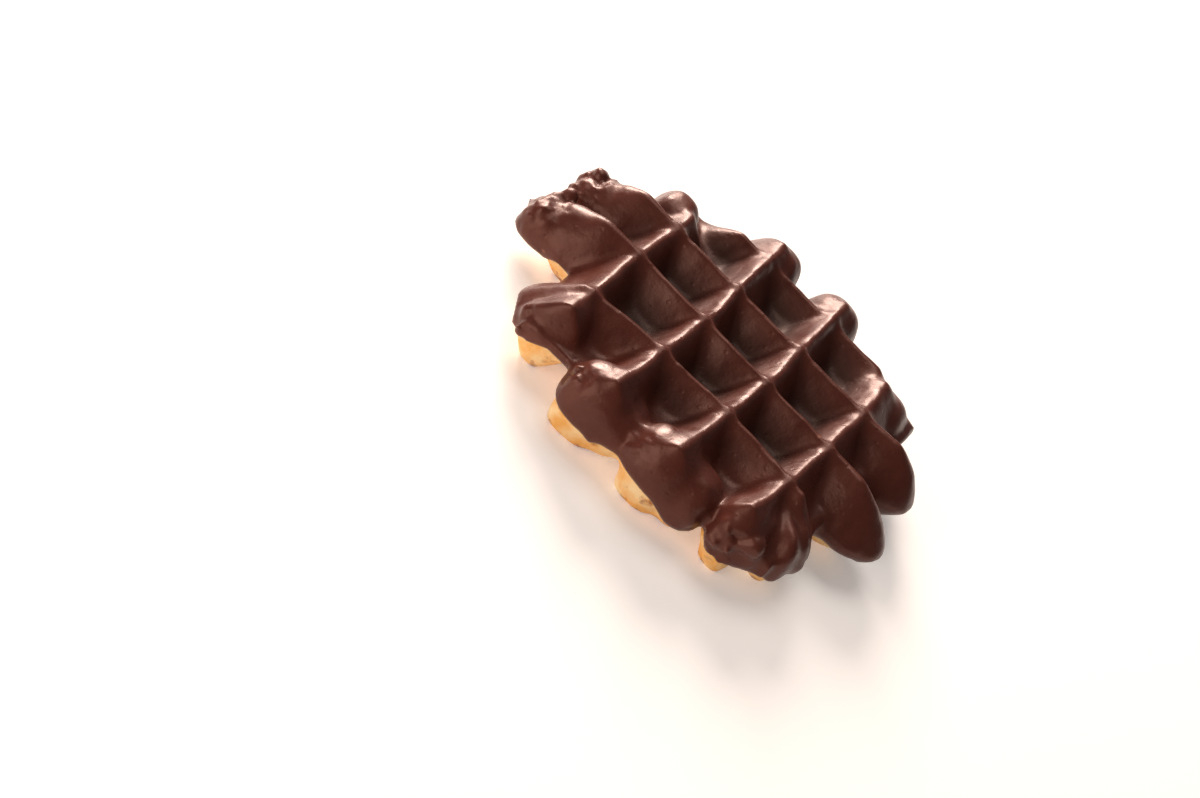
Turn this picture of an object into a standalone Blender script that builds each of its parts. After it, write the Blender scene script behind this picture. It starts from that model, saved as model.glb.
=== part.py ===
"""A Liege waffle with a dark chocolate coat on its upper side, lying flat with the coat up.

Two solids: the baked waffle, and the coat over its top and most of its rim. X runs along the five long
ridges and Y along the four cross ridges. The origin is at the middle of the outline, on the surface that
the waffle rests on. The form is worked out as a distance field, negative inside the dough, on a grid of
points, and each solid is the surface where a field is zero. Run it in Blender 4.5.
"""
from itertools import combinations, permutations, product
from random import Random
from typing import NamedTuple

import bmesh
import bpy
import numpy as np

MM = 0.001


class Form(NamedTuple):
    """Sizes of the iron's section, in millimetres, measured from the middle plane and the centre lines."""
    half_width: float
    half_height: float
    half_web: float
    blunting: float  # how much rounder the crests are
    extra: float     # what a swelling gains all round
    crag_cover: float
    fillet: float


class Ridge(NamedTuple):
    """A ridge moulded by one channel of the iron: its centre line and how far the dough ran along it."""
    runs: str         # "x" or "y"
    offset: float     # place of the centre line across its run
    lean: float       # slope of the centre line
    bow: float        # sideways bend, per millimetre squared
    crossings: tuple  # its first and last crossing
    tips: tuple       # where the dough stopped
    blunt: tuple      # how steep each end is beside the walls
    height: float     # share of the full height


# The dough as the iron shapes it, and the same with the coat on.
DOUGH = Form(half_width=6.5, half_height=9.8, half_web=1.4, blunting=0.4, extra=0.0, crag_cover=-0.5,
             fillet=1.8)
COATED = Form(half_width=7.9, half_height=10.6, half_web=2.8, blunting=0.0, extra=1.4, crag_cover=0.9,
              fillet=2.2)
CREST_RADIUS = {"x": 0.8, "y": 1.5}

# A ridge's section is |side|^n + |height|^n = 1. Its n goes from the first value at the last crossing to
# the second, this many millimetres further out.
GRID_SHARPNESS = 0.95
TIP_SHARPNESS = 1.25
SHARPNESS_RUN = 16.0

# The four cross ridges from -X to +X, then the five long ridges from +Y to -Y.
RIDGES = (
    Ridge("y", -25.5, 0.000, -0.0002, (-17.0, 17.0), (-28.8, 29.5), (2.6, 1.2), 0.96),
    Ridge("y", -7.9, 0.000, -0.0010, (-34.4, 33.5), (-36.4, 45.0), (2.2, 1.2), 1.00),
    Ridge("y", 9.2, 0.000, -0.0010, (-34.4, 33.5), (-37.0, 44.8), (2.2, 1.2), 1.00),
    Ridge("y", 26.3, 0.004, -0.0014, (-30.0, 17.0), (-33.4, 36.0), (2.2, 1.0), 0.97),
    Ridge("x", 33.6, 0.000, -0.0015, (-8.5, 8.5), (-26.0, 29.0), (0.7, 0.9), 0.81),
    Ridge("x", 16.6, 0.000, 0.0004, (-25.5, 25.5), (-44.7, 44.8), (0.6, 0.7), 0.95),
    Ridge("x", 0.9, -0.030, -0.0005, (-25.5, 25.5), (-46.1, 46.4), (0.55, 0.6), 0.97),
    Ridge("x", -15.1, 0.025, -0.0036, (-25.5, 25.5), (-34.9, 37.8), (0.9, 0.8), 0.96),
    Ridge("x", -31.6, 0.000, 0.0000, (-8.5, 25.5), (-12.0, 22.0), (1.2, 1.2), 0.55),
)

# Swellings where more dough ran out: x, y, half width along x and y, share of the full height. Below the
# middle plane they are fuller: heights there count for less.
SWELLINGS = (
    (-10.2, -30.6, 6.0, 5.0, 0.80),
    (-5.5, -30.0, 5.5, 4.6, 0.55),
    (6.8, -31.2, 5.6, 5.0, 0.80),
    (13.5, -29.8, 5.4, 4.8, 0.60),
    (25.6, -29.0, 3.6, 4.0, 0.74),
    (32.0, -22.5, 4.6, 4.4, 0.60),
    (-25.6, -22.8, 3.4, 4.0, 0.75),
    (-28.8, 26.8, 4.2, 4.6, 0.82),
    (-8.4, 39.6, 4.9, 5.2, 0.80),
    (7.8, 39.6, 4.9, 5.2, 0.80),
    (28.2, 30.6, 3.8, 4.8, 0.62),
    (-43.6, 0.6, 3.8, 4.2, 0.44),
    (-42.4, 16.6, 3.4, 3.6, 0.44),
)
SWELLING_SHARPNESS = 2.5
SWELLING_BELLY = 0.72

# The web reaches this far from the ridges between their crossings, and no further than this in x and y.
WEB_REACH = 10.2
WEB_X = (-29.0, 34.0)
WEB_Y = (-29.0, 35.0)
WEB_FILLET = 2.4

# Crags on the ends where the dough tore off: which ridge, which end of it, and how many.
TORN_ENDS = ((5, 0, 4), (6, 0, 5), (0, 0, 0), (3, 0, 5))
CRAG_RADIUS = (0.8, 1.4)
CRAG_SPREAD = 4.8
CRAG_RISE = (-1.0, 4.5)
CRAG_SETBACK = 0.05
CRAG_FILLET = 1.2
CRAG_SEED = 11

# The coat's lower edge: its height above the table, the patches where it stayed higher, as x, y, radius
# and rise, and its wavering.
EDGE_HEIGHT = 2.6
BARE_PATCHES = (
    (-13.0, -33.0, 8.0, 2.1),
    (3.5, -35.0, 9.0, 2.5),
    (-27.0, -26.0, 6.0, 2.2),
    (-34.0, -17.0, 9.0, 4.5),
    (-33.0, -3.0, 5.0, 3.5),
    (35.0, -22.0, 5.0, 2.5),
    (42.0, -9.0, 6.0, 2.5),
)
PATCH_MARGIN = 0.3
EDGE_SWAY = 0.6
EDGE_SWAY_LENGTHS = (4.0, 5.0)
EDGE_SWAY_PHASES = (0.6, 1.9)
EDGE_LIP = 1.6
EDGE_TURN = 4.0
GRID_X = (-25.5, 26.3)
GRID_Y = (-32.0, 33.5)

# The dough stays this far inside the coated form. The coat keeps a gap to the dough, and its cutter's
# corners move until their faces are clear of that.
COAT_COVER = 0.95
COVER_FILLET = 0.6
COAT_GAP = 0.34
GROW_ROUNDS = 12
GROW_LIMIT = 2.5

# The middle of the outline, the table below the middle plane, and how far the waffle is flattened on it.
CENTRE = (-0.56, 4.3)
TABLE = -7.7
FLAT_BELOW = 0.2
FLAT_FILLET = 0.6

# The grid of points that the fields are worked out on, and how finely each surface is kept.
SAMPLED_HALF = (56.0, 49.0, 13.0)
VOXEL = 0.8
CLEAR_OF_POINT = 0.03
WAFFLE_TRIANGLES = 4500
COAT_TRIANGLES = 3800

BAKED_COLOUR = (0.78, 0.45, 0.14)
BAKED_ROUGHNESS = 0.6
CHOCOLATE_COLOUR = (0.07, 0.024, 0.014)
CHOCOLATE_ROUGHNESS = 0.3


def smooth_min(a, b, fillet):
    """The lower of two distances, rounded by a fillet where they are nearly equal."""
    near = np.maximum(fillet - np.abs(a - b), 0.0) / fillet
    return np.minimum(a, b) - near ** 3 * fillet / 6


def smooth_max(a, b, fillet):
    return -smooth_min(-a, -b, fillet)


def place_on(ridge, x, y, first, last):
    """A place's distance across the ridge's centre line and past its ends, and its place along it."""
    along, across = (x, y) if ridge.runs == "x" else (y, x)
    middle = ridge.offset + ridge.lean * along + ridge.bow * along ** 2
    return across - middle, np.maximum(np.maximum(first - along, along - last), 0.0), along


def ridge_field(ridge, form, x, y, z):
    """A ridge is a diamond in section within the grid and nearly round at its free tips."""
    tip_run = DOUGH.half_width + CREST_RADIUS[ridge.runs] / 2
    first = ridge.tips[0] + tip_run / ridge.blunt[0]
    last = ridge.tips[1] - tip_run / ridge.blunt[1]
    across, overrun, along = place_on(ridge, x, y, first, last)
    overrun = overrun * np.where(along < 0, *ridge.blunt)
    crest = CREST_RADIUS[ridge.runs] + form.blunting
    side = np.sqrt(across ** 2 + overrun ** 2 + crest ** 2) - crest / 2
    height = np.sqrt(z ** 2 + crest ** 2)
    beyond = np.maximum(ridge.crossings[0] - along, along - ridge.crossings[1]) / SHARPNESS_RUN
    sharpness = GRID_SHARPNESS + (TIP_SHARPNESS - GRID_SHARPNESS) * np.clip(beyond, 0.0, 1.0)
    half_height = ridge.height * form.half_height
    half_width = ridge.height * form.half_width
    reach = (side / half_width) ** sharpness + (height / half_height) ** sharpness
    slant = half_width * half_height / np.hypot(half_width, half_height)
    return (reach ** (1 / sharpness) - 1) * slant


def swelling_field(swelling, form, x, y, z):
    centre_x, centre_y, half_x, half_y, height = swelling
    half_x, half_y, half_z = half_x + form.extra, half_y + form.extra, height * form.half_height
    rise = np.where(z > 0, z, -SWELLING_BELLY * z)
    terms = (np.abs(x - centre_x) / half_x, np.abs(y - centre_y) / half_y, rise / half_z)
    reach = sum(term ** SWELLING_SHARPNESS for term in terms) ** (1 / SWELLING_SHARPNESS)
    return (reach - 1) * min(half_x, half_y)


def web_field(form, x, y, z):
    """A thin plate within and just round the grid, as thick as the gap between the facing studs."""
    plan = np.full_like(x, np.inf)
    for ridge in RIDGES:
        across, overrun, _ = place_on(ridge, x, y, *ridge.crossings)
        plan = np.minimum(plan, np.hypot(across, overrun) - WEB_REACH)
    edge = np.maximum(np.maximum(WEB_X[0] - x, x - WEB_X[1]), np.maximum(WEB_Y[0] - y, y - WEB_Y[1]))
    plan = smooth_max(plan, edge, WEB_FILLET) - form.extra
    return smooth_max(plan, np.abs(z) - form.half_web, WEB_FILLET)


def crags():
    """The places and radii of the small lumps on the torn ends."""
    draw = Random(CRAG_SEED)
    lumps = []
    for index, end, count in TORN_ENDS:
        ridge = RIDGES[index]
        outward = (-1, 1)[end]
        for _ in range(count):
            radius = draw.uniform(*CRAG_RADIUS)
            across = draw.uniform(-1, 1) * CRAG_SPREAD
            rise = draw.uniform(*CRAG_RISE)
            along = ridge.tips[end] - outward * CRAG_SETBACK * (across ** 2 + rise ** 2)
            middle = ridge.offset + ridge.lean * along + ridge.bow * along ** 2
            place = (along, middle + across) if ridge.runs == "x" else (middle + across, along)
            lumps.append((*place, rise, radius))
    return lumps


def waffle_field(form, x, y, z):
    """Distance to the surface of the bare or the coated waffle, negative inside."""
    field = web_field(form, x, y, z)
    for ridge in RIDGES:
        field = smooth_min(field, ridge_field(ridge, form, x, y, z), form.fillet)
    for swelling in SWELLINGS:
        field = smooth_min(field, swelling_field(swelling, form, x, y, z), form.fillet)
    for lump_x, lump_y, lump_z, radius in crags():
        lump = np.sqrt((x - lump_x) ** 2 + (y - lump_y) ** 2 + (z - lump_z) ** 2) - radius
        field = smooth_min(field, lump - form.crag_cover, CRAG_FILLET)
    return field


def dough_field(x, y, z):
    """Distance to the dough, which the iron shapes and the coat covers."""
    return smooth_max(waffle_field(DOUGH, x, y, z), waffle_field(COATED, x, y, z) + COAT_COVER, COVER_FILLET)


def coat_edge(x, y):
    """Height above the table of the coat's lower edge: wavy round the rim, and higher on the bare patches.

    Within the grid the edge is at the middle plane, inside the web, so the pockets underneath stay bare.
    """
    rise = np.zeros_like(x)
    for centre_x, centre_y, radius, most in BARE_PATCHES:
        away = np.hypot(x - centre_x, y - centre_y) / radius
        share = np.clip((1 + PATCH_MARGIN - away) / (2 * PATCH_MARGIN), 0.0, 1.0)
        rise = np.maximum(rise, most * share ** 2 * (3 - 2 * share))
    sway = sum(np.sin(place / length + phase)
               for place, length, phase in zip((x, y), EDGE_SWAY_LENGTHS, EDGE_SWAY_PHASES))
    hang = EDGE_HEIGHT + rise + EDGE_SWAY * sway
    past_grid = np.maximum(np.maximum(GRID_X[0] - x, x - GRID_X[1]), np.maximum(GRID_Y[0] - y, y - GRID_Y[1]))
    within_grid = np.clip(0.5 - past_grid / EDGE_TURN, 0.0, 1.0)
    return hang + (-TABLE - hang) * within_grid


def sample_grid():
    """Grid points in millimetres round the waffle, with z from its middle plane."""
    axes = [centre + np.arange(-half, half, VOXEL) for half, centre in zip(SAMPLED_HALF, (*CENTRE, 0.0))]
    return axes, np.meshgrid(*axes, indexing="ij")


def parity(order):
    """1 where the order is an even permutation, -1 where it is odd."""
    swaps = sum(order[i] > order[j] for i in range(len(order)) for j in range(i + 1, len(order)))
    return -1 if swaps % 2 else 1


def contour(field, axes):
    """Marching tetrahedra: each cell is cut into six, and each of those gives at most one face.

    A corner of a cell is named by three bits, one for each axis. An edge is named by its first point on
    the grid and the bits that it crosses.
    """
    shape = np.array(field.shape)
    stride = np.array([shape[1] * shape[2], shape[2], 1])
    jump = np.array([sum(stride[axis] for axis in range(3) if bits >> axis & 1) for bits in range(8)])
    values = field.ravel()
    cells = np.indices(shape - 1).reshape(3, -1).T @ stride
    low = np.minimum.reduce([values[cells + step] for step in jump])
    high = np.maximum.reduce([values[cells + step] for step in jump])
    cells = cells[(low < 0) & (high >= 0)]
    faces = []
    for order in permutations(range(3)):
        bits = (0, 1 << order[0], (1 << order[0]) | (1 << order[1]), 7)
        inside = np.stack([values[cells + jump[corner]] < 0 for corner in bits], axis=1)
        for within in (chosen for size in (1, 2, 3) for chosen in combinations(range(4), size)):
            rows = cells[(inside == [corner in within for corner in range(4)]).all(axis=1)]
            without = tuple(corner for corner in range(4) if corner not in within)
            if len(within) == 2:
                ends = [(within[0], without[0]), (within[0], without[1]),
                        (within[1], without[1]), (within[1], without[0])]
            else:
                ends = list(product(within, without))
            turned = parity(order) * parity(within + without) < 0
            names = []
            for first, last in (sorted(pair) for pair in (ends[::-1] if turned else ends)):
                names.append((rows + jump[bits[first]]) * 8 + bits[last] - bits[first])
            faces.extend(np.stack(names, axis=1).tolist())
    names = np.unique(np.concatenate([np.array(face) for face in faces]))
    start = names // 8
    end = start + jump[names % 8]
    share = np.clip(values[start] / (values[start] - values[end]), CLEAR_OF_POINT, 1 - CLEAR_OF_POINT)
    place = np.stack([np.unravel_index(start, shape), np.unravel_index(end, shape)]).astype(float)
    points = (place[0] + (place[1] - place[0]) * share).T * VOXEL + [axis[0] for axis in axes]
    number = {name: index for index, name in enumerate(names.tolist())}
    return points, [[number[name] for name in face] for face in faces]


def solid(name, field, axes, triangles):
    """Turn a field into an object, thinned to about the given number of triangles."""
    points, faces = contour(field, axes)
    points = points - (*CENTRE, TABLE)
    mesh = bpy.data.meshes.new(name)
    mesh.from_pydata((points * MM).tolist(), [], faces)
    piece = bpy.data.objects.new(name, mesh)
    bpy.context.collection.objects.link(piece)
    thin = piece.modifiers.new("Thin", "DECIMATE")
    thin.ratio = triangles / sum(len(face) - 2 for face in faces)
    thin.use_collapse_triangulate = True
    apply_modifiers(piece)
    keep_largest_body(piece)
    return piece


def apply_modifiers(piece):
    """Replace the object's mesh with what its modifiers make."""
    evaluated = piece.evaluated_get(bpy.context.evaluated_depsgraph_get())
    mesh = bpy.data.meshes.new_from_object(evaluated)
    piece.modifiers.clear()
    piece.data = mesh


def keep_largest_body(piece):
    """Drop loose scraps, keeping the body with the most corners."""
    shape = bmesh.new()
    shape.from_mesh(piece.data)
    left = set(shape.verts)
    bodies = []
    while left:
        body = [left.pop()]
        for vertex in body:
            for edge in vertex.link_edges:
                other = edge.other_vert(vertex)
                if other in left:
                    left.remove(other)
                    body.append(other)
        bodies.append(body)
    bodies.sort(key=len)
    for scrap in bodies[:-1]:
        bmesh.ops.delete(shape, geom=scrap, context="VERTS")
    shape.to_mesh(piece.data)
    shape.free()


def flatten_underside(piece):
    for vertex in piece.data.vertices:
        if vertex.co.z < FLAT_BELOW * MM:
            vertex.co.z = 0.0


def grown_copy(piece, name, distance):
    """A copy whose corners are moved until each face round them has moved out by the distance."""
    copy = bpy.data.objects.new(name, piece.data.copy())
    bpy.context.collection.objects.link(copy)
    shape = bmesh.new()
    shape.from_mesh(copy.data)
    shape.normal_update()
    moves = []
    for vertex in shape.verts:
        move = vertex.normal * distance
        for _ in range(GROW_ROUNDS):
            for face in vertex.link_faces:
                move += face.normal * max(distance - face.normal.dot(move), 0.0)
        move.length = min(move.length, distance * GROW_LIMIT)
        moves.append(move)
    for vertex, move in zip(shape.verts, moves):
        vertex.co += move
    shape.to_mesh(copy.data)
    shape.free()
    return copy


def make_material(name, colour, roughness):
    material = bpy.data.materials.new(name)
    material.use_nodes = True
    shader = material.node_tree.nodes["Principled BSDF"]
    shader.inputs["Base Color"].default_value = (*colour, 1.0)
    shader.inputs["Roughness"].default_value = roughness
    return material


def build_waffle(axes, points):
    x, y, z = points
    field = smooth_max(dough_field(x, y, z), TABLE - z, FLAT_FILLET)
    waffle = solid("waffle", field, axes, WAFFLE_TRIANGLES)
    flatten_underside(waffle)
    waffle.data.materials.append(make_material("golden_waffle", BAKED_COLOUR, BAKED_ROUGHNESS))
    return waffle


def build_coat(axes, points, waffle):
    """The coat's outer form, with the waffle and its gap cut out of it."""
    x, y, z = points
    above_edge = coat_edge(x, y) - (z - TABLE)
    outer = smooth_max(waffle_field(COATED, x, y, z), above_edge, EDGE_LIP)
    coat = solid("chocolate_coat", outer, axes, COAT_TRIANGLES)
    cutter = grown_copy(waffle, "coat_cutter", COAT_GAP * MM)
    cut = coat.modifiers.new("Cut", "BOOLEAN")
    cut.operation = "DIFFERENCE"
    cut.solver = "MANIFOLD"
    cut.object = cutter
    apply_modifiers(coat)
    bpy.data.objects.remove(cutter)
    keep_largest_body(coat)
    coat.data.materials.append(make_material("dark_chocolate", CHOCOLATE_COLOUR, CHOCOLATE_ROUGHNESS))


def main():
    for old in list(bpy.data.objects):
        bpy.data.objects.remove(old)
    axes, points = sample_grid()
    waffle = build_waffle(axes, points)
    build_coat(axes, points, waffle)


main()
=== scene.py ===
"""A Liege waffle with a dark chocolate coat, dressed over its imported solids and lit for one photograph.

The dough and the coat are worked out as distances in millimetres by Geometry Nodes, from nearly the same
sizes as the solids: five long ridges along X, four cross ridges along Y, a web between them, and the
swellings and crags where dough ran out of the iron. Each is the surface where its distance is zero, and a
third such surface cuts the dough's room out of the coat. Run it in Blender 4.5.
"""
from math import radians
from random import Random
from typing import NamedTuple

import bmesh
import bpy
from mathutils import Matrix, Vector


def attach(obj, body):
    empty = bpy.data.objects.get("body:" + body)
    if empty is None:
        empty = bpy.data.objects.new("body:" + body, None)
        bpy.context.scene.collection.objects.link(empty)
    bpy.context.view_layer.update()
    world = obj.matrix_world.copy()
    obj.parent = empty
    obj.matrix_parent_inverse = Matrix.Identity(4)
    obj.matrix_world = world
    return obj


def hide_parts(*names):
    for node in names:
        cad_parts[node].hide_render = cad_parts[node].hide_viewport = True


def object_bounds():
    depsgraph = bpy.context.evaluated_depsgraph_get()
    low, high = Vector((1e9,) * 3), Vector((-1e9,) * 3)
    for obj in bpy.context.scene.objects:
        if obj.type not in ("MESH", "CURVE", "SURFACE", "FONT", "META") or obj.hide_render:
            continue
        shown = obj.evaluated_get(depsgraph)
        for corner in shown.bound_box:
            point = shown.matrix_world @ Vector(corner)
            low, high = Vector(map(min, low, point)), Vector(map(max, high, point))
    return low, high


MM = 0.001


class Form(NamedTuple):
    """Sizes of the iron's section, in millimetres, measured from the middle plane and the centre lines."""
    half_width: float
    half_height: float
    half_web: float
    blunting: float  # how much rounder the crests are
    extra: float     # what a swelling gains all round
    crag_cover: float
    fillet: float


class Ridge(NamedTuple):
    """A ridge moulded by one channel of the iron: its centre line and how far the dough ran along it."""
    runs: str         # "x" or "y"
    offset: float     # place of the centre line across its run
    lean: float       # slope of the centre line
    bow: float        # sideways bend, per millimetre squared
    crossings: tuple  # its first and last crossing
    tips: tuple       # where the dough stopped
    blunt: tuple      # how steep each end is beside the walls
    height: float     # share of the full height


# The dough as the iron shapes it, and the same with the coat on.
DOUGH = Form(half_width=6.5, half_height=9.8, half_web=1.4, blunting=0.4, extra=0.0, crag_cover=-0.5,
             fillet=1.8)
COATED = Form(half_width=7.9, half_height=10.6, half_web=2.8, blunting=0.0, extra=1.4, crag_cover=0.9,
              fillet=2.2)
CREST_RADIUS = {"x": 0.7, "y": 1.15}
# A ridge's section is |side|^n + |height|^n = 1. Its n goes from the first value at the last crossing to
# the second, this many millimetres further out.
GRID_SHARPNESS = 0.95
TIP_SHARPNESS = 1.25
SHARPNESS_RUN = 16.0

# The four cross ridges from -X to +X, then the five long ridges from +Y to -Y.
RIDGES = (
    Ridge("y", -25.5, 0.000, -0.0002, (-17.0, 17.0), (-28.8, 29.5), (2.6, 1.2), 0.96),
    Ridge("y", -7.9, 0.000, -0.0010, (-34.4, 33.5), (-36.4, 45.0), (2.2, 1.2), 1.00),
    Ridge("y", 9.2, 0.000, -0.0010, (-34.4, 33.5), (-37.0, 44.8), (2.2, 1.2), 1.00),
    Ridge("y", 26.3, 0.004, -0.0014, (-30.0, 17.0), (-33.4, 36.0), (2.2, 1.0), 0.97),
    Ridge("x", 33.6, 0.000, -0.0015, (-8.5, 8.5), (-26.0, 29.0), (0.7, 0.9), 0.81),
    Ridge("x", 16.6, 0.000, 0.0004, (-25.5, 25.5), (-44.7, 44.8), (0.6, 0.7), 0.95),
    Ridge("x", 0.9, -0.030, -0.0005, (-25.5, 25.5), (-46.1, 46.4), (0.55, 0.6), 0.97),
    Ridge("x", -15.1, 0.025, -0.0036, (-25.5, 25.5), (-34.9, 37.8), (0.9, 0.8), 0.96),
    Ridge("x", -31.6, 0.000, 0.0000, (-8.5, 25.5), (-12.0, 22.0), (1.2, 1.2), 0.55),
)
# Swellings where more dough ran out: x, y, half width along x and y, share of the full height. Below the
# middle plane they are fuller: heights there count for less.
SWELLINGS = (
    (-10.2, -30.6, 6.0, 5.0, 0.80),
    (-5.5, -30.0, 5.5, 4.6, 0.55),
    (6.8, -31.2, 5.6, 5.0, 0.80),
    (13.5, -29.8, 5.4, 4.8, 0.60),
    (25.6, -29.0, 3.6, 4.0, 0.74),
    (32.0, -22.5, 4.6, 4.4, 0.60),
    (-25.6, -22.8, 3.4, 4.0, 0.75),
    (-28.8, 26.8, 4.2, 4.6, 0.82),
    (-8.4, 39.6, 4.9, 5.2, 0.80),
    (7.8, 39.6, 4.9, 5.2, 0.80),
    (28.2, 30.6, 3.8, 4.8, 0.62),
    (-43.6, 0.6, 3.8, 4.2, 0.44),
    (-42.4, 16.6, 3.4, 3.6, 0.44),
)
SWELLING_SHARPNESS = 2.5
SWELLING_BELLY = 0.72
# The web reaches this far from the ridges between their crossings, and no further than this in x and y.
WEB_REACH = 10.2
WEB_X = (-29.0, 34.0)
WEB_Y = (-29.0, 35.0)
WEB_FILLET = 2.4

# Crags on the ends where the dough tore off: which ridge, which end of it, and how many.
TORN_ENDS = ((5, 0, 4), (6, 0, 5), (3, 0, 5))
CRAG_RADIUS = (0.8, 1.4)
CRAG_SPREAD = 4.8
CRAG_RISE = (-1.0, 4.5)
CRAG_SETBACK = 0.05
CRAG_FILLET = 1.2
CRAG_SEED = 11
# Ragged places, each with how far the tear reaches, the size and depth of the torn cells, and how far out
# in a cell, as a share of its size, the surface stays where it was.
TEARS = (
    ((-44.7, 17.0, 1.0), 9.0),
    ((-46.0, 1.0, 1.0), 8.0),
    ((24.5, -33.0, 0.0), 8.0),
    ((2.0, -36.5, 4.5), 4.6),
    ((-15.5, -34.5, 4.5), 4.6),
    ((-30.0, -28.0, 1.0), 5.0),
)
TEAR_LENGTH = 2.6
TEAR_DEPTH = 1.6
TEAR_MIDDLE = 0.5
# Pleats that fan out from the crossing at a corner: their centre, the degrees from one to the next and of
# the first and the last, the distances at which they begin and are full, and their depth.
PLEAT_CENTRE = (26.0, -17.5)
PLEAT_TURN = 26.0
PLEAT_ANGLES = (-68.0, -16.0)
PLEAT_START = (4.0, 9.0)
PLEAT_DEPTH = 0.32

# The coat's lower edge: its height above the table, the patches where it stayed higher, as x, y, radius
# and rise, and its wavering.
EDGE_HEIGHT = 2.6
BARE_PATCHES = (
    (-13.0, -33.0, 8.0, 2.1),
    (3.5, -35.0, 9.0, 2.5),
    (-27.0, -26.0, 6.0, 2.2),
    (-34.0, -17.0, 9.0, 4.5),
    (-33.0, -3.0, 5.0, 3.5),
    (35.0, -22.0, 5.0, 2.5),
    (42.0, -9.0, 6.0, 2.5),
)
PATCH_MARGIN = 0.3
EDGE_SWAY = 0.6
EDGE_SWAY_LENGTHS = (4.0, 5.0)
EDGE_SWAY_PHASES = (0.6, 1.9)
EDGE_LIP = 1.6
EDGE_TURN = 4.0
GRID_X = (-25.5, 26.3)
GRID_Y = (-32.0, 33.5)

# How far the ridges wander, how far both surfaces sag, and the low relief of the set chocolate, each with
# the length of its waves.
DRIFT = (1.5, 1.5, 0.5)
DRIFT_LENGTH = 11.0
SAG = 0.5
SAG_LENGTH = 7.0
RELIEF = 0.16
RELIEF_LENGTH = 2.6

# The dough stays this far inside the coated form, and the coat's inner wall keeps a gap to the dough.
COAT_COVER = 0.95
COVER_FILLET = 0.6
COAT_GAP = 0.25
# The coat thins towards its lower edge: its thickness there with the gap, and what it gains for each
# millimetre above.
EDGE_THICKNESS = 0.6
EDGE_GAIN = 0.5
EDGE_BLEND = 0.6

# The middle of the outline, and the table below the middle plane.
CENTRE = (-0.56, 4.3)
TABLE = -7.7
FLAT_FILLET = 0.6

# How finely each surface is sampled. The coat's inner wall hides, and is the coarsest. The samples reach
# past the solids by a margin, and tell distances apart only within a band round the surface. Edges shorter
# than a sliver are merged.
DOUGH_VOXEL = 0.62
COAT_VOXEL = 0.5
WALL_VOXEL = 0.9
MARGIN = 1.5
SURFACE_BAND = 2.0
SLIVER = 0.002

# Painted shade in the pockets: the chocolate turns from the nearly black painted shade to the unshaded tone
# of the rim between these distances from the middle of the pockets, and to that of the crests between these
# heights above the table.
POCKETS_MIDDLE = (0.96, 4.45)
POCKET_SHADE_EDGE = (24.0, 34.0)
POCKET_SHADE_HEIGHTS = (10.5, 16.0)
# Heights above the table below which the dough is pressed darker, and where it is darkest.
PRESSED_HEIGHTS = (2.2, 0.2)

FLOOR_HALF = 2.0
LIGHT_DISTANCE = 0.9

# The camera, fitted to the crossings of the ridges: place in millimetres, and its axes in the rows.
CAMERA_PLACE = (40.56, -516.1, 373.7)
CAMERA_AXES = ((0.706, 0.4723, 0.5278), (0.7035, -0.3812, -0.5999), (-0.0821, 0.7948, -0.6013))
CAMERA_LENS = 97.8
SENSOR_WIDTH = 36.0


def add(tree, kind, *inputs, **settings):
    """Add a node with its settings. An input is a value, a socket or a node, given in order or by name."""
    node = tree.nodes.new(kind)
    for name, value in settings.items():
        setattr(node, name, value)
    sockets = [socket for socket in node.inputs if socket.enabled]
    if inputs and isinstance(inputs[0], dict):
        pairs = [(next(socket for socket in sockets if socket.name == name), value)
                 for name, value in inputs[0].items()]
    else:
        pairs = list(zip(sockets, inputs))
    for socket, value in pairs:
        wire(tree, value, socket)
    return node


def wire(tree, value, socket):
    """Give a socket a value, or link it to another socket or to a node's first live output."""
    if isinstance(value, bpy.types.Node):
        value = next(output for output in value.outputs if output.enabled)
    if isinstance(value, bpy.types.NodeSocket):
        tree.links.new(value, socket)
    else:
        socket.default_value = value


def new_tree(name, inputs, outputs):
    """A Geometry Nodes tree, its inputs' node and its outputs' node. Each socket is a name and a value."""
    tree = bpy.data.node_groups.new(name, "GeometryNodeTree")
    for label, value in inputs.items():
        kind = "NodeSocketVector" if isinstance(value, tuple) else "NodeSocketFloat"
        if isinstance(value, bpy.types.Material):
            kind = "NodeSocketMaterial"
        tree.interface.new_socket(label, in_out="INPUT", socket_type=kind).default_value = value
    for label, kind in outputs.items():
        tree.interface.new_socket(label, in_out="OUTPUT", socket_type=kind)
    return tree, tree.nodes.new("NodeGroupInput").outputs, tree.nodes.new("NodeGroupOutput").inputs


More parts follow.
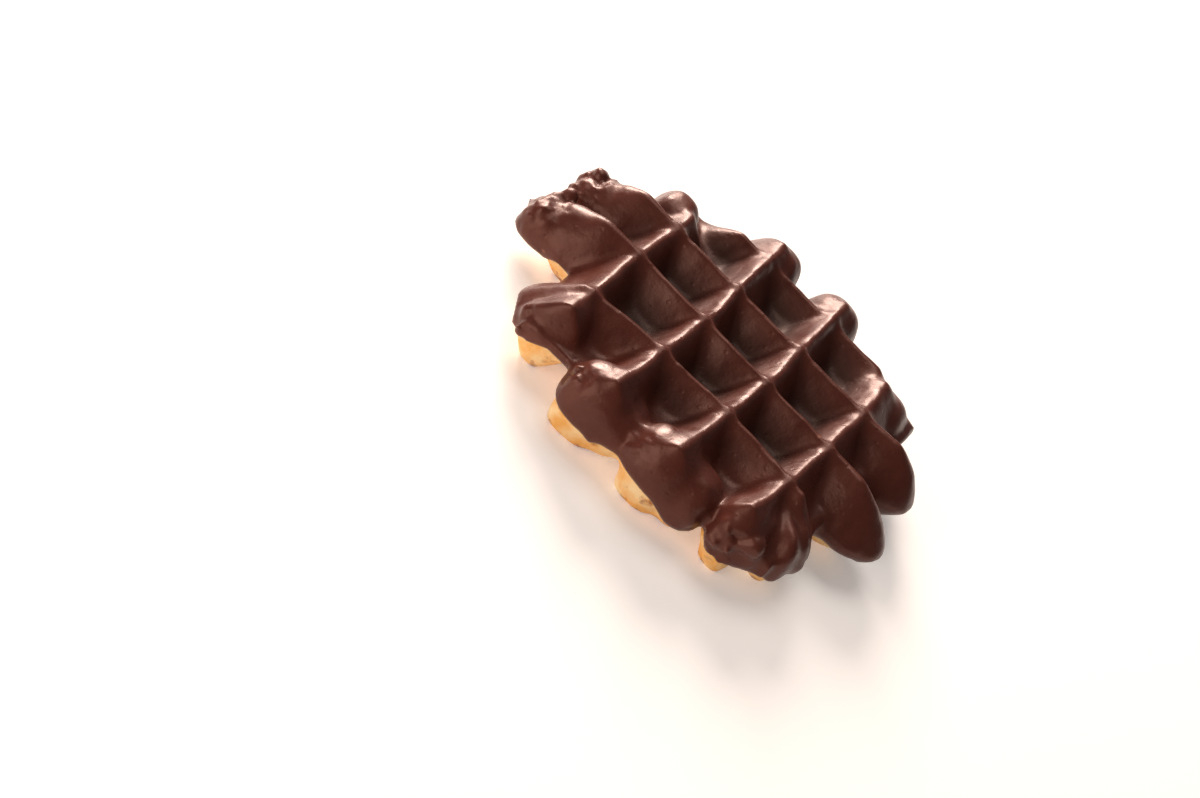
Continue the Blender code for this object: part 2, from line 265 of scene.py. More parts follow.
def ridge_tree():
    """Distance to one ridge: a diamond in section within the grid, and nearly round at its free tips."""
    tree, given, result = new_tree("Ridge", {
        "Along": 0.0, "Across": 0.0, "Rise": 0.0, "Offset": 0.0, "Lean": 0.0, "Bow": 0.0,
        "First crossing": 0.0, "Last crossing": 0.0, "First tip": 0.0, "Last tip": 0.0,
        "First bluntness": 1.0, "Last bluntness": 1.0, "Crest": 0.5, "Half width": 6.0, "Half height": 9.0,
    }, {"Distance": "NodeSocketFloat", "Plan distance": "NodeSocketFloat"})
    leaning = add(tree, "ShaderNodeMath", given["Along"], given["Lean"], given["Offset"],
                  operation="MULTIPLY_ADD")
    square = add(tree, "ShaderNodeMath", given["Along"], given["Along"], operation="MULTIPLY")
    middle = add(tree, "ShaderNodeMath", square, given["Bow"], leaning, operation="MULTIPLY_ADD")
    off = add(tree, "ShaderNodeMath", given["Across"], middle, operation="SUBTRACT")

    before = add(tree, "ShaderNodeMath", given["First tip"], given["Along"], operation="SUBTRACT")
    before = add(tree, "ShaderNodeMath", before, given["First bluntness"], operation="MULTIPLY")
    past = add(tree, "ShaderNodeMath", given["Along"], given["Last tip"], operation="SUBTRACT")
    past = add(tree, "ShaderNodeMath", past, given["Last bluntness"], operation="MULTIPLY")
    overrun = add(tree, "ShaderNodeMath", before, past, operation="MAXIMUM")
    overrun = add(tree, "ShaderNodeMath", overrun, 0.0, operation="MAXIMUM")
    side = add(tree, "ShaderNodeCombineXYZ", off, overrun, given["Crest"])
    side = add(tree, "ShaderNodeVectorMath", side, operation="LENGTH")
    side = add(tree, "ShaderNodeMath", given["Crest"], -0.5, side, operation="MULTIPLY_ADD")
    height = add(tree, "ShaderNodeCombineXYZ", given["Rise"], given["Crest"])
    height = add(tree, "ShaderNodeVectorMath", height, operation="LENGTH")

    ahead = add(tree, "ShaderNodeMath", given["First crossing"], given["Along"], operation="SUBTRACT")
    behind = add(tree, "ShaderNodeMath", given["Along"], given["Last crossing"], operation="SUBTRACT")
    outside = add(tree, "ShaderNodeMath", ahead, behind, operation="MAXIMUM")
    sharpness = add(tree, "ShaderNodeMapRange", outside, 0.0, SHARPNESS_RUN, GRID_SHARPNESS, TIP_SHARPNESS)
    across_share = add(tree, "ShaderNodeMath", side, given["Half width"], operation="DIVIDE")
    across_share = add(tree, "ShaderNodeMath", across_share, sharpness, operation="POWER")
    up_share = add(tree, "ShaderNodeMath", height, given["Half height"], operation="DIVIDE")
    up_share = add(tree, "ShaderNodeMath", up_share, sharpness, operation="POWER")
    reach = add(tree, "ShaderNodeMath", across_share, up_share, operation="ADD")
    root = add(tree, "ShaderNodeMath", 1.0, sharpness, operation="DIVIDE")
    reach = add(tree, "ShaderNodeMath", reach, root, operation="POWER")
    reach = add(tree, "ShaderNodeMath", reach, 1.0, operation="SUBTRACT")
    area = add(tree, "ShaderNodeMath", given["Half width"], given["Half height"], operation="MULTIPLY")
    slant = add(tree, "ShaderNodeCombineXYZ", given["Half width"], given["Half height"])
    slant = add(tree, "ShaderNodeVectorMath", slant, operation="LENGTH")
    slant = add(tree, "ShaderNodeMath", area, slant, operation="DIVIDE")
    distance = add(tree, "ShaderNodeMath", reach, slant, operation="MULTIPLY")
    tree.links.new(distance.outputs[0], result["Distance"])

    outside = add(tree, "ShaderNodeMath", outside, 0.0, operation="MAXIMUM")
    plan = add(tree, "ShaderNodeCombineXYZ", off, outside)
    plan = add(tree, "ShaderNodeVectorMath", plan, operation="LENGTH")
    tree.links.new(plan.outputs["Value"], result["Plan distance"])
    return tree


def swelling_tree():
    """Distance to a rounded block, fuller below."""
    tree, given, result = new_tree("Swelling", {"Place": (0.0, 0.0, 0.0), "Half sizes": (1.0, 1.0, 1.0),
                                                "Slope": 1.0}, {"Distance": "NodeSocketFloat"})
    belly = add(tree, "ShaderNodeVectorMath", given["Place"], (-1.0, -1.0, -SWELLING_BELLY),
                operation="MULTIPLY")
    share = add(tree, "ShaderNodeVectorMath", given["Place"], belly, operation="MAXIMUM")
    share = add(tree, "ShaderNodeVectorMath", share, given["Half sizes"], operation="DIVIDE")
    share = add(tree, "ShaderNodeSeparateXYZ", share)
    total = 0.0
    for axis in "XYZ":
        term = add(tree, "ShaderNodeMath", share.outputs[axis], SWELLING_SHARPNESS, operation="POWER")
        total = add(tree, "ShaderNodeMath", term, total, operation="ADD")
    reach = add(tree, "ShaderNodeMath", total, 1 / SWELLING_SHARPNESS, operation="POWER")
    reach = add(tree, "ShaderNodeMath", reach, 1.0, operation="SUBTRACT")
    distance = add(tree, "ShaderNodeMath", reach, given["Slope"], operation="MULTIPLY")
    tree.links.new(distance.outputs[0], result["Distance"])
    return tree


def crags():
    """The places and radii of the small lumps on the torn ends."""
    draw = Random(CRAG_SEED)
    lumps = []
    for index, end, count in TORN_ENDS:
        ridge = RIDGES[index]
        outward = (-1, 1)[end]
        for _ in range(count):
            radius = draw.uniform(*CRAG_RADIUS)
            across = draw.uniform(-1, 1) * CRAG_SPREAD
            rise = draw.uniform(*CRAG_RISE)
            along = ridge.tips[end] - outward * CRAG_SETBACK * (across ** 2 + rise ** 2)
            middle = ridge.offset + ridge.lean * along + ridge.bow * along ** 2
            place = (along, middle + across) if ridge.runs == "x" else (middle + across, along)
            lumps.append(((*place, rise), radius))
    return lumps


def form_tree(ridge_group, swelling_group, form):
    """Distance in millimetres to the bare or the coated form, from a place with z from the middle plane."""
    tree, given, result = new_tree("Coated form" if form is COATED else "Dough form",
                                   {"Place": (0.0, 0.0, 0.0)}, {"Distance": "NodeSocketFloat"})
    place = add(tree, "ShaderNodeSeparateXYZ", given["Place"])
    x, y, z = place.outputs
    plan = WEB_REACH
    walls = []
    for ridge in RIDGES:
        along, across = (x, y) if ridge.runs == "x" else (y, x)
        tip_run = DOUGH.half_width + CREST_RADIUS[ridge.runs] / 2
        wall = add(tree, "GeometryNodeGroup", node_tree=ridge_group)
        for name, value in {
            "Along": along, "Across": across, "Rise": z,
            "Offset": ridge.offset, "Lean": ridge.lean, "Bow": ridge.bow,
            "First crossing": ridge.crossings[0], "Last crossing": ridge.crossings[1],
            "First tip": ridge.tips[0] + tip_run / ridge.blunt[0],
            "Last tip": ridge.tips[1] - tip_run / ridge.blunt[1],
            "First bluntness": ridge.blunt[0], "Last bluntness": ridge.blunt[1],
            "Crest": CREST_RADIUS[ridge.runs] + form.blunting,
            "Half width": ridge.height * form.half_width, "Half height": ridge.height * form.half_height,
        }.items():
            if isinstance(value, float):
                wall.inputs[name].default_value = value
            else:
                tree.links.new(value, wall.inputs[name])
        walls.append(wall.outputs["Distance"])
        plan = add(tree, "ShaderNodeMath", wall.outputs["Plan distance"], plan, operation="MINIMUM")

    plan = add(tree, "ShaderNodeMath", plan, WEB_REACH, operation="SUBTRACT")
    sides = [add(tree, "ShaderNodeMath", WEB_X[0], x, operation="SUBTRACT"),
             add(tree, "ShaderNodeMath", x, WEB_X[1], operation="SUBTRACT"),
             add(tree, "ShaderNodeMath", WEB_Y[0], y, operation="SUBTRACT"),
             add(tree, "ShaderNodeMath", y, WEB_Y[1], operation="SUBTRACT")]
    edge = sides[0]
    for side in sides[1:]:
        edge = add(tree, "ShaderNodeMath", edge, side, operation="MAXIMUM")
    plan = add(tree, "ShaderNodeMath", plan, edge, WEB_FILLET, operation="SMOOTH_MAX")
    plan = add(tree, "ShaderNodeMath", plan, form.extra, operation="SUBTRACT")
    depth = add(tree, "ShaderNodeMath", z, operation="ABSOLUTE")
    depth = add(tree, "ShaderNodeMath", depth, form.half_web, operation="SUBTRACT")
    total = add(tree, "ShaderNodeMath", plan, depth, WEB_FILLET, operation="SMOOTH_MAX")
    for wall in walls:
        total = add(tree, "ShaderNodeMath", total, wall, form.fillet, operation="SMOOTH_MIN")

    for centre_x, centre_y, half_x, half_y, height in SWELLINGS:
        off = add(tree, "ShaderNodeVectorMath", given["Place"], (centre_x, centre_y, 0.0),
                  operation="SUBTRACT")
        halves = (half_x + form.extra, half_y + form.extra, height * form.half_height)
        swelling = add(tree, "GeometryNodeGroup", node_tree=swelling_group)
        tree.links.new(off.outputs[0], swelling.inputs["Place"])
        swelling.inputs["Half sizes"].default_value = halves
        swelling.inputs["Slope"].default_value = min(halves[:2])
        total = add(tree, "ShaderNodeMath", total, swelling.outputs[0], form.fillet, operation="SMOOTH_MIN")
    for centre, radius in crags():
        lump = add(tree, "ShaderNodeVectorMath", given["Place"], centre, operation="DISTANCE")
        lump = add(tree, "ShaderNodeMath", lump, radius + form.crag_cover, operation="SUBTRACT")
        total = add(tree, "ShaderNodeMath", total, lump, CRAG_FILLET, operation="SMOOTH_MIN")
    tree.links.new(total.outputs[0], result["Distance"])
    return tree


def relief_tree():
    """How deep the surface lies below the even form: cells where it is torn, pleats, and a slight sag."""
    tree, given, result = new_tree("Relief", {"Place": (0.0, 0.0, 0.0)}, {"Depth": "NodeSocketFloat"})
    cells = add(tree, "ShaderNodeTexVoronoi", {"Vector": given["Place"], "Scale": 1 / TEAR_LENGTH,
                                               "Detail": 1.0, "Roughness": 0.45}, feature="SMOOTH_F1")
    tear = add(tree, "ShaderNodeMath", cells.outputs["Distance"], TEAR_MIDDLE, operation="SUBTRACT")
    tear = add(tree, "ShaderNodeMath", tear, torn_share(tree, given["Place"]), operation="MULTIPLY")
    tear = add(tree, "ShaderNodeMath", tear, TEAR_DEPTH, operation="MULTIPLY")
    sag = add(tree, "ShaderNodeTexNoise", {"Vector": given["Place"], "Scale": 1 / SAG_LENGTH, "Detail": 1.0})
    sag = add(tree, "ShaderNodeMath", sag, 0.5, operation="SUBTRACT")
    depth = add(tree, "ShaderNodeMath", sag, SAG, tear, operation="MULTIPLY_ADD")
    x, y, _ = add(tree, "ShaderNodeSeparateXYZ", given["Place"]).outputs
    depth = add(tree, "ShaderNodeMath", pleats(tree, x, y), PLEAT_DEPTH, depth, operation="MULTIPLY_ADD")
    tree.links.new(depth.outputs[0], result["Depth"])
    return tree


def torn_share(tree, place):
    """One at the ragged places where the dough tore from the iron, and nought away from them."""
    share = 0.0
    for centre, reach in TEARS:
        away = add(tree, "ShaderNodeVectorMath", place, centre, operation="DISTANCE")
        near = add(tree, "ShaderNodeMapRange", away.outputs["Value"], reach, reach / 2, 0.0, 1.0)
        share = add(tree, "ShaderNodeMath", near, share, operation="MAXIMUM")
    return share


def pleats(tree, x, y):
    """A wave round the corner's crossing, from -1 on a pleat to 1 between two."""
    right = add(tree, "ShaderNodeMath", x, PLEAT_CENTRE[0], operation="SUBTRACT")
    up = add(tree, "ShaderNodeMath", y, PLEAT_CENTRE[1], operation="SUBTRACT")
    turn = add(tree, "ShaderNodeMath", up, right, operation="ARCTAN2")
    turn = add(tree, "ShaderNodeMath", turn, operation="DEGREES")
    first, last = PLEAT_ANGLES
    wave = add(tree, "ShaderNodeMath", turn, first, operation="SUBTRACT")
    wave = add(tree, "ShaderNodeMath", wave, radians(360) / PLEAT_TURN, operation="MULTIPLY")
    wave = add(tree, "ShaderNodeMath", wave, operation="COSINE")
    enter = add(tree, "ShaderNodeMapRange", turn, first - PLEAT_TURN / 2, first, 0.0, -1.0)
    leave = add(tree, "ShaderNodeMapRange", turn, last, last + PLEAT_TURN / 2, 1.0, 0.0)
    away = add(tree, "ShaderNodeCombineXYZ", right, up)
    away = add(tree, "ShaderNodeVectorMath", away, operation="LENGTH")
    away = add(tree, "ShaderNodeMapRange", away.outputs["Value"], *PLEAT_START, 0.0, 1.0)
    for share in (enter, leave, away):
        wave = add(tree, "ShaderNodeMath", wave, share, operation="MULTIPLY")
    return wave


def coat_edge(tree, x, y):
    """Height of the coat's lower edge: wavy round the rim, higher on bare patches, and in the web inside."""
    flat = add(tree, "ShaderNodeCombineXYZ", x, y)
    rise = 0.0
    for centre_x, centre_y, radius, most in BARE_PATCHES:
        away = add(tree, "ShaderNodeVectorMath", flat, (centre_x, centre_y, 0.0), operation="DISTANCE")
        patch = add(tree, "ShaderNodeMapRange", away.outputs["Value"], radius * (1 + PATCH_MARGIN),
                    radius * (1 - PATCH_MARGIN), 0.0, most, interpolation_type="SMOOTHSTEP")
        rise = add(tree, "ShaderNodeMath", patch, rise, operation="MAXIMUM")
    hang = add(tree, "ShaderNodeMath", rise, EDGE_HEIGHT, operation="ADD")
    for place, length, phase in zip((x, y), EDGE_SWAY_LENGTHS, EDGE_SWAY_PHASES):
        wave = add(tree, "ShaderNodeMath", place, 1 / length, phase, operation="MULTIPLY_ADD")
        wave = add(tree, "ShaderNodeMath", wave, operation="SINE")
        hang = add(tree, "ShaderNodeMath", wave, EDGE_SWAY, hang, operation="MULTIPLY_ADD")
    sides = [add(tree, "ShaderNodeMath", GRID_X[0], x, operation="SUBTRACT"),
             add(tree, "ShaderNodeMath", x, GRID_X[1], operation="SUBTRACT"),
             add(tree, "ShaderNodeMath", GRID_Y[0], y, operation="SUBTRACT"),
             add(tree, "ShaderNodeMath", y, GRID_Y[1], operation="SUBTRACT")]
    past = sides[0]
    for side in sides[1:]:
        past = add(tree, "ShaderNodeMath", past, side, operation="MAXIMUM")
    within = add(tree, "ShaderNodeMapRange", past, -EDGE_TURN / 2, EDGE_TURN / 2, 1.0, 0.0)
    rise = add(tree, "ShaderNodeMath", -TABLE, hang, operation="SUBTRACT")
    base = add(tree, "ShaderNodeMath", hang, TABLE, operation="ADD")
    return add(tree, "ShaderNodeMath", rise, within, base, operation="MULTIPLY_ADD")


def surface(tree, distance, voxel, given, result):
    """Close the tree: sample the distance on a grid, and make the surface where it is zero."""
    size = add(tree, "ShaderNodeVectorMath", given["Highest corner"], given["Lowest corner"],
               operation="SUBTRACT")
    counts = add(tree, "ShaderNodeVectorMath", size, (1 / (voxel * MM),) * 3, operation="MULTIPLY")
    counts = add(tree, "ShaderNodeSeparateXYZ", counts)
    density = add(tree, "ShaderNodeMapRange", distance, -SURFACE_BAND, SURFACE_BAND, 1.0, 0.0)
    volume = add(tree, "GeometryNodeVolumeCube", {
        "Density": density, "Min": given["Lowest corner"], "Max": given["Highest corner"],
        "Resolution X": counts.outputs["X"], "Resolution Y": counts.outputs["Y"],
        "Resolution Z": counts.outputs["Z"]})
    mesh = add(tree, "GeometryNodeVolumeToMesh", {"Volume": volume, "Threshold": 0.5, "Adaptivity": 0.0},
               resolution_mode="GRID")
    smooth = add(tree, "GeometryNodeSetShadeSmooth", {"Geometry": mesh})
    real = add(tree, "GeometryNodeRealizeInstances", {"Geometry": smooth})
    dressed = add(tree, "GeometryNodeSetMaterial", {"Geometry": real, "Material": given["Material"]})
    tree.links.new(dressed.outputs[0], result["Geometry"])


def place_in_millimetres(tree):
    """A place from the middle plane, and the same place moved a little, as no ridge runs quite straight."""
    place = add(tree, "GeometryNodeInputPosition")
    place = add(tree, "ShaderNodeVectorMath", place, (1 / MM,) * 3, (*CENTRE, TABLE),
                operation="MULTIPLY_ADD")
    drift = add(tree, "ShaderNodeTexNoise", {"Vector": place, "Scale": 1 / DRIFT_LENGTH, "Detail": 0.0})
    drift = add(tree, "ShaderNodeVectorMath", drift.outputs["Color"], (0.5, 0.5, 0.5),
                operation="SUBTRACT")
    moved = add(tree, "ShaderNodeVectorMath", drift, DRIFT, place, operation="MULTIPLY_ADD")
    return place.outputs[0], moved.outputs[0]


def piece_inputs(material):
    """A piece's own inputs: the box that is sampled, a little larger than the solids, and the material."""
    lowest, highest = [Vector(corner) for corner in cad_box]
    margin = Vector((MARGIN * MM,) * 3)
    return {"Lowest corner": tuple(lowest - margin), "Highest corner": tuple(highest + margin),
            "Material": material}


def core(tree, moved, shapes):
    """Distances to the dough, which stays within the coated form, and to the coated form itself."""
    distances = []
    for shape in shapes:
        group = add(tree, "GeometryNodeGroup", node_tree=shape)
        tree.links.new(moved, group.inputs["Place"])
        distances.append(group.outputs[0])
    bare, cover, depth = distances
    cover = add(tree, "ShaderNodeMath", cover, depth, operation="ADD")
    bare = add(tree, "ShaderNodeMath", bare, depth, operation="ADD")
    within = add(tree, "ShaderNodeMath", cover, COAT_COVER, operation="ADD")
    return add(tree, "ShaderNodeMath", bare, within, COVER_FILLET, operation="SMOOTH_MAX"), cover


def dough_tree(shapes, material):
    """The baked waffle, flattened where it lies."""
    tree, given, result = new_tree("Baked dough", piece_inputs(material), {"Geometry": "NodeSocketGeometry"})
    place, moved = place_in_millimetres(tree)
    z = add(tree, "ShaderNodeSeparateXYZ", place).outputs["Z"]
    below = add(tree, "ShaderNodeMath", TABLE, z, operation="SUBTRACT")
    form, _ = core(tree, moved, shapes)
    whole = add(tree, "ShaderNodeMath", form, below, FLAT_FILLET, operation="SMOOTH_MAX")
    surface(tree, whole, DOUGH_VOXEL, given, result)
    return tree


def wall_tree(shapes, material):
    """What the coat's inner wall is cut by: the dough and a thin gap."""
    tree, given, result = new_tree("Inner wall", piece_inputs(material), {"Geometry": "NodeSocketGeometry"})
    place, moved = place_in_millimetres(tree)
    form, _ = core(tree, moved, shapes)
    wall = add(tree, "ShaderNodeMath", form, COAT_GAP, operation="SUBTRACT")
    surface(tree, wall, WALL_VOXEL, given, result)
    return tree


def coat_tree(shapes, material):
    """The coat's outer form above its lower edge, thinning towards it, with the relief of set chocolate."""
    tree, given, result = new_tree("Chocolate coat", piece_inputs(material),
                                   {"Geometry": "NodeSocketGeometry"})
    place, moved = place_in_millimetres(tree)
    x, y, z = add(tree, "ShaderNodeSeparateXYZ", place).outputs
    form, outer = core(tree, moved, shapes)
    under = add(tree, "ShaderNodeMath", coat_edge(tree, x, y), z, operation="SUBTRACT")
    allowed = add(tree, "ShaderNodeMath", under, -EDGE_GAIN, EDGE_THICKNESS, operation="MULTIPLY_ADD")
    allowed = add(tree, "ShaderNodeMath", form, allowed, operation="SUBTRACT")
    outer = add(tree, "ShaderNodeMath", outer, allowed, EDGE_BLEND, operation="SMOOTH_MAX")
    wave = add(tree, "ShaderNodeTexNoise", {"Vector": place, "Scale": 1 / RELIEF_LENGTH, "Detail": 1.0})
    wave = add(tree, "ShaderNodeMath", wave, 0.5, operation="SUBTRACT")
    outer = add(tree, "ShaderNodeMath", wave, RELIEF, outer, operation="MULTIPLY_ADD")
    whole = add(tree, "ShaderNodeMath", outer, under, EDGE_LIP, operation="SMOOTH_MAX")
    surface(tree, whole, COAT_VOXEL, given, result)
    return tree


def hollow(coat, wall):
    """Cut the dough's room out of the coat."""
    cut = coat.modifiers.new("Inner wall", "BOOLEAN")
    cut.operation = "DIFFERENCE"
    cut.solver = "MANIFOLD"
    cut.object = wall
    evaluated = coat.evaluated_get(bpy.context.evaluated_depsgraph_get())
    mesh = bpy.data.meshes.new_from_object(evaluated)
    coat.modifiers.clear()
    coat.data = mesh
    bpy.data.objects.remove(wall)


def make_piece(name, tree):
    """Evaluate a tree to a plain mesh, and keep it as a piece."""
    maker = bpy.data.objects.new(name + "_maker", bpy.data.meshes.new(name + "_maker"))
    bpy.context.collection.objects.link(maker)
    modifier = maker.modifiers.new("Shape", "NODES")
    modifier.node_group = tree
    for socket in tree.interface.items_tree:
        if socket.in_out == "INPUT":
            modifier[socket.identifier] = socket.default_value
    evaluated = maker.evaluated_get(bpy.context.evaluated_depsgraph_get())
    mesh = bpy.data.meshes.new_from_object(evaluated)
    mesh.name = name
    maker.modifiers.clear()
    bpy.data.objects.remove(maker)
    piece = bpy.data.objects.new(name, mesh)
    bpy.context.collection.objects.link(piece)
    return piece


def drop_scraps(piece):
    """Merge edges too short to matter, and keep only the body with the most corners."""
    shape = bmesh.new()
    shape.from_mesh(piece.data)
    bmesh.ops.dissolve_degenerate(shape, edges=shape.edges, dist=SLIVER * MM)
    left = set(shape.verts)
    bodies = []
    while left:
        body = [left.pop()]
        for vertex in body:
            for edge in vertex.link_edges:
                other = edge.other_vert(vertex)
                if other in left:
                    left.remove(other)
                    body.append(other)
        bodies.append(body)
    bodies.sort(key=len)
    for scrap in bodies[:-1]:
        bmesh.ops.delete(shape, geom=scrap, context="VERTS")
    shape.to_mesh(piece.data)
    shape.free()


def srgb(code):
    """A hex colour as linear red, green, blue and alpha."""
    values = [int(code[i:i + 2], 16) / 255 for i in (1, 3, 5)]
    linear = [value / 12.92 if value <= 0.04045 else ((value + 0.055) / 1.055) ** 2.4 for value in values]
    return (*linear, 1.0)


def new_material(name):
    material = bpy.data.materials.new(name)
    material.use_nodes = True
    return material, material.node_tree, material.node_tree.nodes["Principled BSDF"]


def baked_dough():
    """Yeast dough with pearl sugar, baked in an iron: matt gold, cream where it stayed soft, and glassy
    brown where sugar melted against the iron, most of all on the flattened crests underneath."""
    material, tree, shader = new_material("baked_yeast_dough")
    place = add(tree, "ShaderNodeTexCoord").outputs["Object"]
    height = add(tree, "ShaderNodeSeparateXYZ", place).outputs["Z"]
    # Gold and cream run together over about 5 mm, and melted sugar browned in spots of 2 to 4 mm, drawn as
    # the peaks of a noise that a pressed crest raises.
    patches = add(tree, "ShaderNodeTexNoise", {"Vector": place, "Scale": 1 / (5 * MM), "Detail": 4.0})
    patches = add(tree, "ShaderNodeMapRange", patches, 0.38, 0.62, 0.0, 1.0)
    soft = add(tree, "ShaderNodeMix", {"Factor": patches, "A": srgb("#efb25c"), "B": srgb("#f8dca6")},
               data_type="RGBA")
    pressed = add(tree, "ShaderNodeMapRange", height, *(above * MM for above in PRESSED_HEIGHTS), 0.0, 1.0)
    spots = add(tree, "ShaderNodeTexNoise", {"Vector": place, "Scale": 1 / (3.5 * MM), "Detail": 5.0,
                                             "Roughness": 0.6})
    brown = add(tree, "ShaderNodeMath", pressed, 0.16, spots, operation="MULTIPLY_ADD")
    brown = add(tree, "ShaderNodeMapRange", brown, 0.58, 0.74, 0.0, 1.0)
    colour = add(tree, "ShaderNodeMix", {"Factor": brown, "A": soft, "B": srgb("#9a5620")}, data_type="RGBA")
    wire(tree, colour, shader.inputs["Base Color"])
    wire(tree, add(tree, "ShaderNodeMapRange", brown, 0.0, 1.0, 0.68, 0.34), shader.inputs["Roughness"])
    # Pores of the crumb a little over a millimetre apart, and the grain of the crust between them.
    pores = add(tree, "ShaderNodeTexVoronoi", {"Vector": place, "Scale": 1 / (1.3 * MM)},
                feature="SMOOTH_F1")
    grain = add(tree, "ShaderNodeTexNoise", {"Vector": place, "Scale": 1 / (0.8 * MM), "Detail": 3.0})
    relief = add(tree, "ShaderNodeMath", pores.outputs["Distance"], 0.6, grain, operation="MULTIPLY_ADD")
    bump = add(tree, "ShaderNodeBump", {"Strength": 0.7, "Distance": 0.15 * MM, "Height": relief})
    wire(tree, bump, shader.inputs["Normal"])
    return material


def dark_chocolate():
    """Dark couverture, poured and left to set: satin with small pits and ripples, and duller in the pockets.
    Its colour has painted shade, nearly black, low in the pockets, is redder outside them, and has a painted
    highlight, palest, along the crests."""
    material, tree, shader = new_material("dark_couverture_chocolate")
    place = add(tree, "ShaderNodeTexCoord").outputs["Object"]
    height = add(tree, "ShaderNodeSeparateXYZ", place).outputs["Z"]
    # The tone drifts over about 6 mm with the coat's thickness.
    patches = add(tree, "ShaderNodeTexNoise", {"Vector": place, "Scale": 1 / (6 * MM), "Detail": 4.0})
    deep = add(tree, "ShaderNodeMix", {"Factor": patches, "A": srgb("#1e0e0a"), "B": srgb("#2c150f")},
               data_type="RGBA")
    unshaded_tone = add(tree, "ShaderNodeMix", {"Factor": patches, "A": srgb("#44211a"), "B": srgb("#5b2d23")},
               data_type="RGBA")
    # Painted shade: low in the pockets within the grid the colour is nearly black, turning to the unshaded
    # tone above these heights and away from the middle of the pockets.
    middle = (POCKETS_MIDDLE[0] * MM, POCKETS_MIDDLE[1] * MM, 0.0)
    aside = add(tree, "ShaderNodeVectorMath", place, middle, operation="SUBTRACT")
    aside = add(tree, "ShaderNodeVectorMath", aside, (1.0, 1.0, 0.0), operation="MULTIPLY")
    aside = add(tree, "ShaderNodeVectorMath", aside, operation="LENGTH")
    aside = add(tree, "ShaderNodeMapRange", aside.outputs["Value"], *(edge * MM for edge in POCKET_SHADE_EDGE),
                0.0, 1.0)
    rise = add(tree, "ShaderNodeMapRange", height, *(above * MM for above in POCKET_SHADE_HEIGHTS), 0.0, 1.0)
    rise = add(tree, "ShaderNodeMath", rise, aside, operation="MAXIMUM")
    body = add(tree, "ShaderNodeMix", {"Factor": rise, "A": deep, "B": unshaded_tone}, data_type="RGBA")
    # Pointiness is 0.5 where the surface is even, and higher on a crest, where a painted highlight lightens
    # the colour.
    painted_crest_highlight = add(tree, "ShaderNodeNewGeometry").outputs["Pointiness"]
    painted_crest_highlight = add(tree, "ShaderNodeMapRange", painted_crest_highlight, 0.54, 0.64, 0.0, 0.6)
    colour = add(tree, "ShaderNodeMix", {"Factor": painted_crest_highlight, "A": body, "B": srgb("#8e5c4c")}, data_type="RGBA")
    wire(tree, colour, shader.inputs["Base Color"])
    # Satin that varies over about 3 mm, as the chocolate set faster in some places than in others.
    gloss = add(tree, "ShaderNodeTexNoise", {"Vector": place, "Scale": 1 / (3 * MM), "Detail": 3.0})
    gloss = add(tree, "ShaderNodeMapRange", gloss, 0.3, 0.7, 0.31, 0.43)
    dull = add(tree, "ShaderNodeMapRange", rise, 0.0, 1.0, 0.16, 0.0)
    wire(tree, add(tree, "ShaderNodeMath", gloss, dull, operation="ADD"), shader.inputs["Roughness"])
    shader.inputs["IOR"].default_value = 1.47
    shader.inputs["Specular Tint"].default_value = srgb("#ffd4c6")
    # Ripples of about a millimetre from the crust below, and burst air bubbles every 2 to 3 mm.
    ripples = add(tree, "ShaderNodeTexNoise", {"Vector": place, "Scale": 1 / (1.2 * MM), "Detail": 2.0})
    pits = add(tree, "ShaderNodeTexVoronoi", {"Vector": place, "Scale": 1 / (2.4 * MM)})
    pits = add(tree, "ShaderNodeMapRange", pits.outputs["Distance"], 0.10, 0.20, 0.0, 1.0)
    relief = add(tree, "ShaderNodeMath", pits, 0.5, ripples, operation="MULTIPLY_ADD")
    bump = add(tree, "ShaderNodeBump", {"Strength": 0.7, "Distance": 0.10 * MM, "Height": relief})
    wire(tree, bump, shader.inputs["Normal"])
    return material


def area_light(name, direction, size, power, colour):
    """A round soft light that looks at the origin."""
    lamp = bpy.data.lights.new(name, "AREA")
    lamp.shape = "DISK"
    lamp.size = size
    lamp.energy = power
    lamp.color = srgb(colour)[:3]
    holder = bpy.data.objects.new(name, lamp)
    away = Vector(direction).normalized()
    holder.location = away * LIGHT_DISTANCE
    holder.rotation_euler = away.to_track_quat("Z", "Y").to_euler()
    bpy.context.collection.objects.link(holder)


def make_floor():
    """A sheet of white paper. It glows a little, which keeps it near white round the shadow."""
    mesh = bpy.data.meshes.new("floor")
    corners = [(x * FLOOR_HALF, y * FLOOR_HALF, 0.0) for x, y in ((-1, -1), (1, -1), (1, 1), (-1, 1))]
    mesh.from_pydata(corners, [], [(0, 1, 2, 3)])
    floor = bpy.data.objects.new("floor", mesh)
    bpy.context.collection.objects.link(floor)
    material, tree, shader = new_material("white_paper_backdrop")
    shader.inputs["Base Color"].default_value = srgb("#f7f4f1")
    shader.inputs["Roughness"].default_value = 0.5
    shader.inputs["Emission Color"].default_value = srgb("#fff8f2")
    shader.inputs["Emission Strength"].default_value = 0.28
    mesh.materials.append(material)


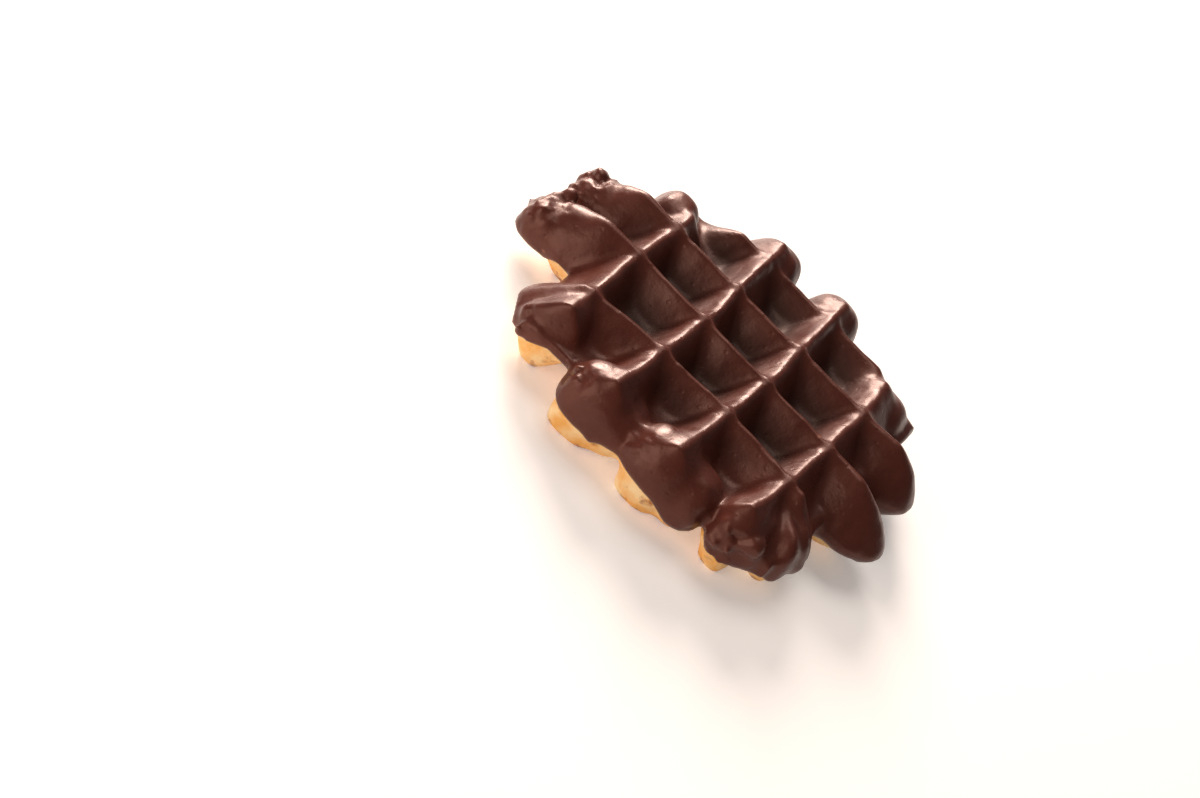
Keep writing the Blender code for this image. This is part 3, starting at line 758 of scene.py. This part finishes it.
def make_camera():
    """The photograph's view: the axes in the rows are the image's right, down and forward."""
    lens = bpy.data.cameras.new("camera")
    lens.lens = CAMERA_LENS
    lens.sensor_width = SENSOR_WIDTH
    holder = bpy.data.objects.new("camera", lens)
    turn = Matrix(CAMERA_AXES).transposed() @ Matrix(((1, 0, 0), (0, -1, 0), (0, 0, -1)))
    holder.matrix_world = Matrix.Translation(Vector(CAMERA_PLACE) * MM) @ turn.to_4x4()
    bpy.context.collection.objects.link(holder)
    bpy.context.scene.camera = holder


def light_the_scene():
    """A low key from behind on the left, a weak light from above, and a wide fill from the front left."""
    scene = bpy.context.scene
    scene.view_settings.view_transform = "Standard"
    world = bpy.data.worlds.new("studio")
    world.use_nodes = True
    sky = world.node_tree.nodes["Background"]
    sky.inputs["Color"].default_value = (1.0, 1.0, 1.0, 1.0)
    sky.inputs["Strength"].default_value = 0.10
    scene.world = world
    area_light("key", (-0.62, 0.7, 0.42), 0.42, 14.0, "#ffece0")
    area_light("top", (-0.3, 0.3, 1.0), 0.6, 3.0, "#fff4ec")
    area_light("fill", (-0.5, -0.9, 0.4), 0.7, 4.2, "#ffe6d8")


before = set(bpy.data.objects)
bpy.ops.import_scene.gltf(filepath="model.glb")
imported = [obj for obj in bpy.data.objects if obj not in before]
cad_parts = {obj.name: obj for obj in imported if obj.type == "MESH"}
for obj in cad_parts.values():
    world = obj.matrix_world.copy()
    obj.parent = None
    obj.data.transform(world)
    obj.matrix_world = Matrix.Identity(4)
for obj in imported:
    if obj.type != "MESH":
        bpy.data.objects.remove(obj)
cad_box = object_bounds()

make_camera()
light_the_scene()
make_floor()

ridge_group = ridge_tree()
swelling_group = swelling_tree()
shapes = [form_tree(ridge_group, swelling_group, form) for form in (DOUGH, COATED)] + [relief_tree()]

chocolate = dark_chocolate()
waffle = make_piece("baked_waffle", dough_tree(shapes, baked_dough()))
coat = make_piece("set_chocolate", coat_tree(shapes, chocolate))
hollow(coat, make_piece("coat_wall", wall_tree(shapes, chocolate)))
for piece in (waffle, coat):
    drop_scraps(piece)
for piece, node, slot in ((waffle, "waffle", "golden_waffle"), (coat, "chocolate_coat", "dark_chocolate")):
    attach(piece, "root")
    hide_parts(node)
